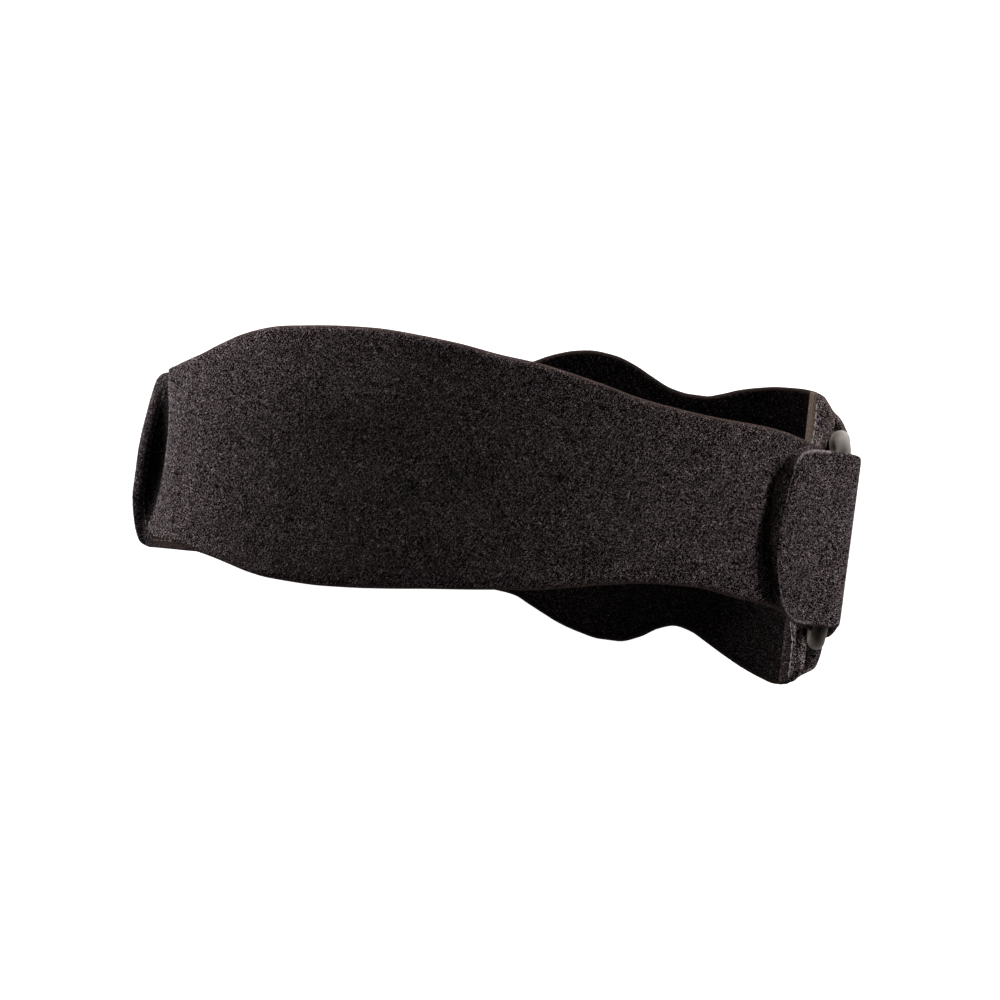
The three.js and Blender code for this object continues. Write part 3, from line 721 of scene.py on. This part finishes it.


# painted light on the band's outer face: paler towards its left end and upper left edge
tone = (1 - 0.85 * dent) * np.where((side > 0) & (vs < PASSED), painted_upper_left_light(np.asarray(v)[:, 0], np.asarray(v)[:, 1]), 1)
# painted shade: the tab's slanted cut face is made darker
painted_shade_edge = np.where(on_tab, 0.9 - 0.62 * np.clip(cut * 1.3, 0, 1), 1.0)
band_piece = add("band_cloth", v, f, BAND_CLOTH, {"rim": rim, "tone": tone, "edge_tone": painted_shade_edge})
print("band_cloth", len(f) * 2)

# ---------------------------------------------------------------- tendon pad
half = PAD_THICKNESS / 2
slope = math.radians(LIP["slope"])
foot = LIP["radius"] * (1 - math.cos(slope)) + half
lip_length = (LIP["rimZ"] - foot) / math.sin(slope)
flat_from = LIP["rimX"] + lip_length * math.cos(slope) + LIP["radius"] * math.sin(slope)
pad_run = bent((LIP["rimX"], LIP["rimZ"]), -LIP["slope"], [
    (lip_length, 0), (LIP["radius"] * slope, LIP["slope"]), (PAD_BASE["right"] - flat_from, 0),
    (PAD_BASE["radius"] * math.radians(PAD_BASE["slope"]), PAD_BASE["slope"]), (PAD_BASE["tail"], 0),
])
_pad_top, _pad_bottom = smooth(PAD_EDGES, 1), smooth(PAD_EDGES, 2)
_lip_top, _lip_bottom = smooth(LIP_TIP, 1), smooth(LIP_TIP, 2)


def pad_edges(s):
    s = np.asarray(s, float)
    x = pad_run.at(s)[0]
    lip = s < LIP_TIP[-1][0]
    return np.where(lip, _lip_top(s), _pad_top(x)), np.where(lip, _lip_bottom(s), _pad_bottom(x))


LIP_STITCH = 1.8      # how far the lip's stitching is in from its rim


def pad_plump(s, y):
    """The lip is pressed thinner along its stitching."""
    on_lip = np.clip((24 - s) / 6, 0, 1)
    d = pad.depth(s, y) if np.ndim(s) else 0
    return 1 - 0.22 * on_lip * np.exp(-((d - LIP_STITCH) / 0.5) ** 2)


pad = Cloth(pad_run, pad_edges, PAD_THICKNESS, lambda s, y, side: np.where(s < 24, 0.8, 1.3), warp=lambda s, y: (s, -0.45 * np.clip((20 - s) / 10, 0, 1)))
pad.plump = pad_plump
pad_rows = rows_for(pad_run, 0.9, 0.45, [(1, 12)])
v, f, depth, side, vs, vy = pad.mesh(pad_rows, 0.9)
left = np.clip((26 - vs) / 8, 0, 1)
rim = np.clip(1.2 - depth / 0.9, 0, 1) ** 1.2 * (1 - 0.9 * left)
foot_strip = np.clip((-vy - 16.6) / 1.6, 0, 1) * np.clip((vs - 5) / 4, 0, 1) * np.clip((36 - vs) / 8, 0, 1) * (side > 0)
rim = np.maximum(rim, 0.85 * foot_strip)
# Painted light and shade: beyond the lip the pad darkens towards its upper edge and lightens towards its lower one; the
# lip is lighter, most near its rim, and the lower face is lighter too.
tone = np.where(vs > 30, np.interp(vy, [-25, -14, 14, 25], [1.45, 1.3, 0.62, 0.55]), 1.0) + 7.5 * left * np.clip(1.15 - depth / 1.9, 0, 1) + 1.6 * left + 2.0 * (side < 0)
pad_piece = add("pad_cloth", v, f, PAD_CLOTH, {"rim": rim, "tone": tone, "edge_tone": 0.75 + 0.75 * foot_strip})
print("pad_cloth", len(f) * 2)

# ---------------------------------------------------------------- ring keeper
keeper_wrap = arc(LOWER_BAR, RING_ROD / 2 + GAP + KEEPER_THICKNESS / 2, 160, -20, 8)
keeper_run = through([*KEEPER_UPPER, *keeper_wrap, *KEEPER_LOWER])
_k_top, _k_bottom = smooth(KEEPER_EDGES, 1), smooth(KEEPER_EDGES, 2)


def keeper_edges(s):
    return _k_top(s), _k_bottom(s)


def keeper_warp(s, y):
    fade = np.maximum(0, 1 - s / KEEPER_SLANT["fade"])
    # beside the ring the upper layer lies over towards the lower one
    beside = np.clip((np.abs(y - 0.7) - 19.5) / 4.5, 0, 1)
    lean = np.interp(s, [2.4, 5.4, 7.0, 8.4, 9.4], [0.0, 1.5, 2.0, 0.75, 0.0])
    return s + KEEPER_SLANT["rise"] * fade * (KEEPER_SLANT["top"] - y) / KEEPER_SLANT["span"], lean * beside * (s < 9.4)


def keeper_stitch(y):
    """How far the stitching is from the keeper's cut end."""
    return np.interp(y, [-33, -20, 22, 33], [4.2, 4.2, 3.5, 3.1])


def keeper_plump(s, y):
    """Pressed flat from the cut end to the stitching, pinched along it, then full."""
    line = keeper_stitch(y)
    pressed = np.clip((line + 0.8 - s) / 0.8, 0, 1)
    return 1 - 0.34 * pressed - 0.24 * np.exp(-((s - line) / 0.42) ** 2)


keeper = Cloth(keeper_run, keeper_edges, KEEPER_THICKNESS, 0.9, warp=keeper_warp, plump=keeper_plump)
keeper_rows = rows_for(keeper_run, 0.45, 0.25, [(1.2, 5.6), (7, 20)])
v, f, depth, side, vs, vy = keeper.mesh(keeper_rows, 0.7)
line = keeper_stitch(vy)
rim = np.maximum(np.clip(1.15 - depth / 0.35, 0, 1) * 0.5, np.clip((line + 0.05 - vs) / 0.4, 0, 1) * 0.95)
# Painted light and shade: darker along the stitching's groove; the upper layer lighter towards the lower edge; the
# inner face lighter beside the ring's ends and near the lower edge.
tone = (1 - 0.5 * np.exp(-((vs - line) / 0.3) ** 2)) * np.where((side > 0) & (vs < 20), np.interp(vy, [-26, -19], [1.5, 1.0]), 1) + 3.2 * ((side < 0) & (vs > 20)) * np.clip((np.abs(vy - 0.7) - 20) / 3, 0, 1) + 0.8 * ((side < 0) & (vs > 6) & (vs <= 20) & (vy < -20))
# painted light and shade: the cut edge is darker towards the lower edge and lighter towards the upper one
keeper_piece = add("keeper_cloth", v, f, KEEPER_CLOTH, {"rim": rim, "tone": tone, "edge_tone": np.interp(vy, [-20, 20], [0.28, 1.9])})
print("keeper_cloth", len(f) * 2)

# ---------------------------------------------------------------- slot ring
up = np.array([UPPER_BAR[0] - LOWER_BAR[0], 0, UPPER_BAR[1] - LOWER_BAR[1]])
half_height = np.linalg.norm(up) / 2
up /= np.linalg.norm(up)
across = np.array([0.0, 1.0, 0.0])
through_ring = np.cross(across, up)
centre = np.array([(UPPER_BAR[0] + LOWER_BAR[0]) / 2, RING_CENTRE_Y, (UPPER_BAR[1] + LOWER_BAR[1]) / 2])
half_length = (RING_LENGTH - RING_ROD) / 2
loop = []
for sy, su, start in ((1, 1, 0), (-1, 1, 90), (-1, -1, 180), (1, -1, 270)):
    for i in range(17):
        a = math.radians(start + 90 * i / 16)
        loop.append((sy * (half_length - RING_CORNER) + RING_CORNER * math.cos(a), su * (half_height - RING_CORNER) + RING_CORNER * math.sin(a), a))
fine_loop = []
for i, (y0, u0, a0) in enumerate(loop):
    y1, u1, a1 = loop[(i + 1) % len(loop)]
    fine_loop.append((y0, u0, a0))
    gap = math.hypot(y1 - y0, u1 - u0)
    for j in range(1, int(gap // 1.6)):
        w = j / int(gap // 1.6)
        fine_loop.append((y0 + (y1 - y0) * w, u0 + (u1 - u0) * w, a0))
SIDES = 36
ring_v, ring_f, ring_painted_highlight = [], [], []


def drawn_in(y, u):
    """The straps pull the ring's ends in a little, the upper-left one more."""
    end = min(1.0, max(0.0, (abs(y) - 19.0) / 2.5))
    lower = 0.5 - 0.5 * u / half_height
    return np.array([-end * ((0.42 + 0.35 * lower) if y > 0 else 0.3 * (1 - lower)), 0.0, 0.0])


for y, u, a in fine_loop:
    p = centre + across * y + up * u
    n = across * math.cos(a) + up * math.sin(a)
    for k in range(SIDES):
        q = 2 * math.pi * k / SIDES
        # a faint parting ridge all round, on the outside and the inside of the loop
        ridge = 0.03 * (math.exp(-((math.sin(q)) / 0.16) ** 2))
        r = RING_ROD / 2 - 0.02 + ridge
        ring_v.append(p + (n * math.cos(q) + through_ring * math.sin(q)) * r + drawn_in(y, u))
        # painted highlight: the outer side of the upper end is paler, less so at its far right
        x = ring_v[-1][0]
        ring_painted_highlight.append(float(np.clip((y - 14) / 9, 0, 1) * np.clip((x - 71.4) / 2.0, 0, 1) * (1 - 0.45 * np.clip((x - 74.2) / 1.2, 0, 1))))
m = len(fine_loop)
for i in range(m):
    for k in range(SIDES):
        j, l = (i + 1) % m, (k + 1) % SIDES
        ring_f.append((i * SIDES + k, j * SIDES + k, j * SIDES + l, i * SIDES + l))
ring_piece = add("ring_moulded", ring_v, ring_f, RING_PLASTIC, {"pale": ring_painted_highlight})
print("ring_moulded", len(ring_f) * 2)

# ---------------------------------------------------------------- fibres
front_end = band_s(64.0)
s, y, d = scatter(band, 31500, 0.3, front_end, 1)
k = d > 0.35
s, y, d = s[k], y[k], d[k]
halfway = s < 0.5 * front_end
front_left = fibres_on(band, s[halfway], y[halfway], d[halfway], 1)
front_right = fibres_on(band, s[~halfway], y[~halfway], d[~halfway], 1)
# the pile along the band's left end, where it turns down, stands up more
s, y, d = scatter(band, 1800, 0.0, 12.0, 1)
left_pile = fibres_on(band, s, y, d, 1, length=(0.4, 0.9), lift=(0.1, 0.3), pale=0.95)
v, f, shade = joined(front_left, left_pile)
# painted light: the band's left-hand fibres are paler towards its left end and upper left edge
shade = shade * painted_upper_left_light(np.asarray(v)[:, 0], np.asarray(v)[:, 1])
band_fibres_a = add("band_fibres_a", v, f, BAND_FIBRE, {"shade": shade})
print("band_fibres_a", len(f))
v, f, shade = front_right
band_fibres_b = add("band_fibres_b", v, f, BAND_FIBRE, {"shade": shade})
print("band_fibres_b", len(f))

tab_start = fold_start(-38)
s, y, d = scatter(band, 5200, tab_start, band_run.length, -1)
k = (d > 0.3) & ((d > 0.25 + 1.0 * tab_cut(s, y)) | (RNG.uniform(size=len(s)) < 0.3))
tab_face = fibres_on(band, s[k], y[k], d[k], -1, pale=1.05)
# a bright frayed line along the tab's outline
o_s = np.concatenate([np.linspace(band_run.length - 11, band_run.length, 900), np.linspace(band_run.length - 11, band_run.length, 900)])
o_top, o_bottom = band_edges(o_s)
o_y = np.concatenate([o_top[:900], o_bottom[900:]])
keep_out = RNG.uniform(size=len(o_s)) < 0.5
o_s, o_y = o_s[keep_out], o_y[keep_out]
centre_y = 0.7
o_y = o_y + np.sign(centre_y - o_y) * RNG.uniform(0.25, 0.7, len(o_y))
o_s = np.minimum(o_s, band_run.length - RNG.uniform(0.25, 0.7, len(o_s)))
inside = 1.1 * tab_cut(o_s, o_y)
o_s = o_s - inside
frayed = fibres_on(band, o_s, o_y, band.depth(o_s, o_y), -1, length=(0.35, 0.8), radius=(0.03, 0.05), lift=(0.05, 0.18), pale=1.7)
v, f, shade = joined(tab_face, frayed)
tab_fibres = add("tab_fibres", v, f, BAND_FIBRE, {"shade": shade})
print("tab_fibres", len(f))

s, y, d = scatter(keeper, 3200, 3.0, 17.0, 1, keep=lambda s, y: s > keeper_stitch(y) + 0.35)
keeper_face = fibres_on(keeper, s, y, d, 1, length=(0.35, 0.8), radius=(0.035, 0.06), pale=1.1)
s, y, d = scatter(keeper, 2400, 20.6, 33.5, -1, keep=lambda s, y: np.abs(y - 0.7) > 21)
keeper_inside = fibres_on(keeper, s, y, d, -1, pale=1.3)
v, f, shade = joined(keeper_face, keeper_inside)
# painted shade: the fibres darken towards the keeper's lower edge
shade = shade * np.interp(v[:, 1], [-26, -19], [0.48, 1.0])
keeper_fibres = add("keeper_fibres", v, f, BAND_FIBRE, {"shade": shade})
print("keeper_fibres", len(f))

s, y, d = scatter(pad, 9000, 0.3, pad_run.length - 2, 1, keep=lambda s, y: (s < 30) | (y > 10) | (y < -8))
pad_face = fibres_on(pad, s, y, d, 1, length=(0.35, 0.8), radius=(0.035, 0.06))
# painted light: the fibres near the lip's rim, front and back, are made much paler
s, y, d = scatter(pad, 9000, 0.05, 22.0, 1)
near_rim = (d < 1.9) & (y > -17.5)
lip_face = fibres_on(pad, s[near_rim], y[near_rim], d[near_rim], 1, length=(0.3, 0.8), pale=4.2)
s, y, d = scatter(pad, 5000, 0.05, 22.0, -1)
near_rim = (d < 0.9) & (y > -17.5)
lip_back = fibres_on(pad, s[near_rim], y[near_rim], d[near_rim], -1, length=(0.3, 0.8), pale=4.2)
v, f, shade = joined(pad_face, lip_face, lip_back)
pad_fibres = add("pad_fibres", v, f, PAD_FIBRE, {"shade": shade})
print("pad_fibres", len(f))

# ---------------------------------------------------------------- stitches


def stitch_row(cloth, s, y, side, gap, radius, sag, sides=6):
    """Stitches along a line given by points (s, y), one between each two points."""
    p, t, n = cloth.place(s, y, side)
    a, b = p[:-1], p[1:]
    c = a + (b - a) * gap
    e = b - (b - a) * gap
    mid_n = n[:-1] + n[1:]
    mid_n /= np.linalg.norm(mid_n, axis=1)[:, None]
    return stitch_mesh(c, e, mid_n, radius, sag, sides)


y = np.arange(-31.0, 31.6, 2.0)
v, f = stitch_row(keeper, keeper_stitch(y), y, 1, 0.03, 0.15, 0.13)
keeper_stitches = add("keeper_stitches", v, f, PALE_THREAD)

# the lip's stitching follows its rim; points in order round the outline
line_s = np.concatenate([np.linspace(20, 0, 200), np.linspace(0, 20, 200)])
lt, lb = pad_edges(line_s)
line_y = np.concatenate([lb[:200], lt[200:]])
line = np.column_stack([line_s, line_y])
step = np.linalg.norm(np.diff(line, axis=0), axis=1)
tangent = np.gradient(line, axis=0)
tangent /= np.maximum(np.linalg.norm(tangent, axis=1)[:, None], 1e-9)
inward = np.column_stack([tangent[:, 1], -tangent[:, 0]])
inner = line + inward * LIP_STITCH
inner = inner[pad.depth(inner[:, 0], inner[:, 1]) > LIP_STITCH - 0.25]
inner = inner[(inner[:, 0] > 0) & (inner[:, 0] < 18)]
step = np.concatenate([[0], np.cumsum(np.linalg.norm(np.diff(inner, axis=0), axis=1))])
at = np.arange(0.5, step[-1], 1.5)
v, f = stitch_row(pad, np.interp(at, step, inner[:, 0]), np.interp(at, step, inner[:, 1]), 1, 0.12, 0.13, 0.05)
lip_stitches = add("lip_stitches", v, f, LIP_THREAD)

# short near-black marks at the band's upper left corner, drawn as thread ends
ends = []
for x0, y0, x1, y1 in ((-75.9, 17.0, -74.5, 16.4), (-74.8, 15.8, -73.4, 15.1), (-74.3, 16.2, -73.9, 15.8), (-73.8, 16.9, -73.4, 16.5)):
    for x, y in ((x0, y0), (x1, y1)):
        s = np.linspace(0, 16, 600)
        p, _, n = band.place(s, np.full(600, y), 1)
        i = int(np.argmin(np.abs(p[:, 0] - x) + 10 * (p[:, 2] < 15)))
        ends.append((p[i], n[i]))
v, f = stitch_mesh([e[0] for e in ends[0::2]], [e[0] for e in ends[1::2]], [e[1] for e in ends[0::2]], 0.24, 0.16)
band_marks = add("band_marks", v, f, DARK_THREAD)

# ---------------------------------------------------------------- the frame
for o, node, slot in (
    (band_piece, "main_band", "band_fabric"),
    (pad_piece, "tendon_pad", "pad_fabric"),
    (keeper_piece, "ring_keeper", "keeper_fabric"),
):
    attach(o, "root")
    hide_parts(node)
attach(ring_piece, "root")
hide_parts("slot_ring")
for o, slot in (
    (band_fibres_a, "band_fabric"), (band_fibres_b, "band_fabric"), (band_marks, "band_fabric"), (tab_fibres, "band_fabric"), (keeper_fibres, "keeper_fabric"),
    (pad_fibres, "pad_fabric"), (keeper_stitches, "keeper_fabric"), (lip_stitches, "pad_fabric"),
):
    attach(o, "root")

# ---------------------------------------------------------------- floor, light, camera
g = Nodes("floor_white")
co = g.node("ShaderNodeTexCoord", out=3)
mottle = g.noise(co, 3.0, 3.0)
c = g.mix(mottle, (0.80, 0.80, 0.80, 1), (0.84, 0.84, 0.84, 1))
b = g.node("ShaderNodeBsdfPrincipled", {"Base Color": c}).node
b.inputs["Roughness"].default_value = 0.9
b.inputs["Emission Color"].default_value = (1, 1, 1, 1)
b.inputs["Emission Strength"].default_value = 1.02
g.tree.links.new(b.outputs[0], g.out.inputs[0])
me = bpy.data.meshes.new("floor")
me.from_pydata([(-3, -3, 0), (3, -3, 0), (3, 3, 0), (-3, 3, 0)], [], [(0, 1, 2, 3)])
me.materials.append(g.material)
floor = bpy.data.objects.new("floor", me)
floor.location.z = -0.0002
bpy.context.scene.collection.objects.link(floor)

# a pale dome round the scene, seen by the camera only, so that it adds no light
g = Nodes("backdrop_white")
co = g.node("ShaderNodeTexCoord", out=3)
c = g.mix(g.noise(co, 2.0, 2.0), (0.97, 0.97, 0.97, 1), (1.0, 1.0, 1.0, 1))
e = g.node("ShaderNodeEmission", {"Color": c})
g.tree.links.new(e, g.out.inputs[0])
turns, levels = 48, 10
dome_v = [(4 * math.cos(2 * math.pi * i / turns) * math.cos(math.pi / 2 * k / levels), 4 * math.sin(2 * math.pi * i / turns) * math.cos(math.pi / 2 * k / levels), 4 * math.sin(math.pi / 2 * k / levels) - 0.3) for k in range(levels) for i in range(turns)]
dome_f = [(k * turns + i, k * turns + (i + 1) % turns, (k + 1) * turns + (i + 1) % turns, (k + 1) * turns + i) for k in range(levels - 1) for i in range(turns)]
dome_f.append(tuple((levels - 1) * turns + i for i in range(turns)))
me = bpy.data.meshes.new("backdrop")
me.from_pydata(dome_v, [], dome_f)
me.materials.append(g.material)
dome = bpy.data.objects.new("backdrop", me)
bpy.context.scene.collection.objects.link(dome)
dome.visible_diffuse = dome.visible_glossy = dome.visible_transmission = dome.visible_volume_scatter = dome.visible_shadow = False

world = bpy.data.worlds.new("studio")
bpy.context.scene.world = world
world.use_nodes = True
world.node_tree.nodes["Background"].inputs[0].default_value = (1, 1, 1, 1)
world.node_tree.nodes["Background"].inputs[1].default_value = 0.05


def soft_box(name, place, size, power, aim=(0, 0, 0.02)):
    data = bpy.data.lights.new(name, "AREA")
    data.shape = "RECTANGLE"
    data.size, data.size_y = size
    data.energy = power
    o = bpy.data.objects.new(name, data)
    o.location = place
    o.rotation_euler = (Vector(aim) - Vector(place)).to_track_quat("-Z", "Y").to_euler()
    bpy.context.scene.collection.objects.link(o)
    return o


soft_box("light_left", (-0.29, 0.32, 0.038), (0.34, 0.07), 5.0)
soft_box("light_right", (0.48, 0.30, 0.13), (0.40, 0.14), 3.9)
soft_box("light_top", (-0.25, 0.60, 0.20), (0.6, 0.2), 0.45)
soft_box("light_low", (0.30, -0.50, 0.12), (0.4, 0.1), 0.5)

camera = bpy.data.objects.new("camera", bpy.data.cameras.new("camera"))
bpy.context.scene.collection.objects.link(camera)
camera.data.lens = 100
camera.data.sensor_width = 36
camera.location = (SHIFT[0] / 1000, SHIFT[1] / 1000, 0.638)
camera.rotation_euler = (0, 0, math.radians(7.5))
bpy.context.scene.camera = camera
bpy.context.scene.view_settings.view_transform = "Standard"
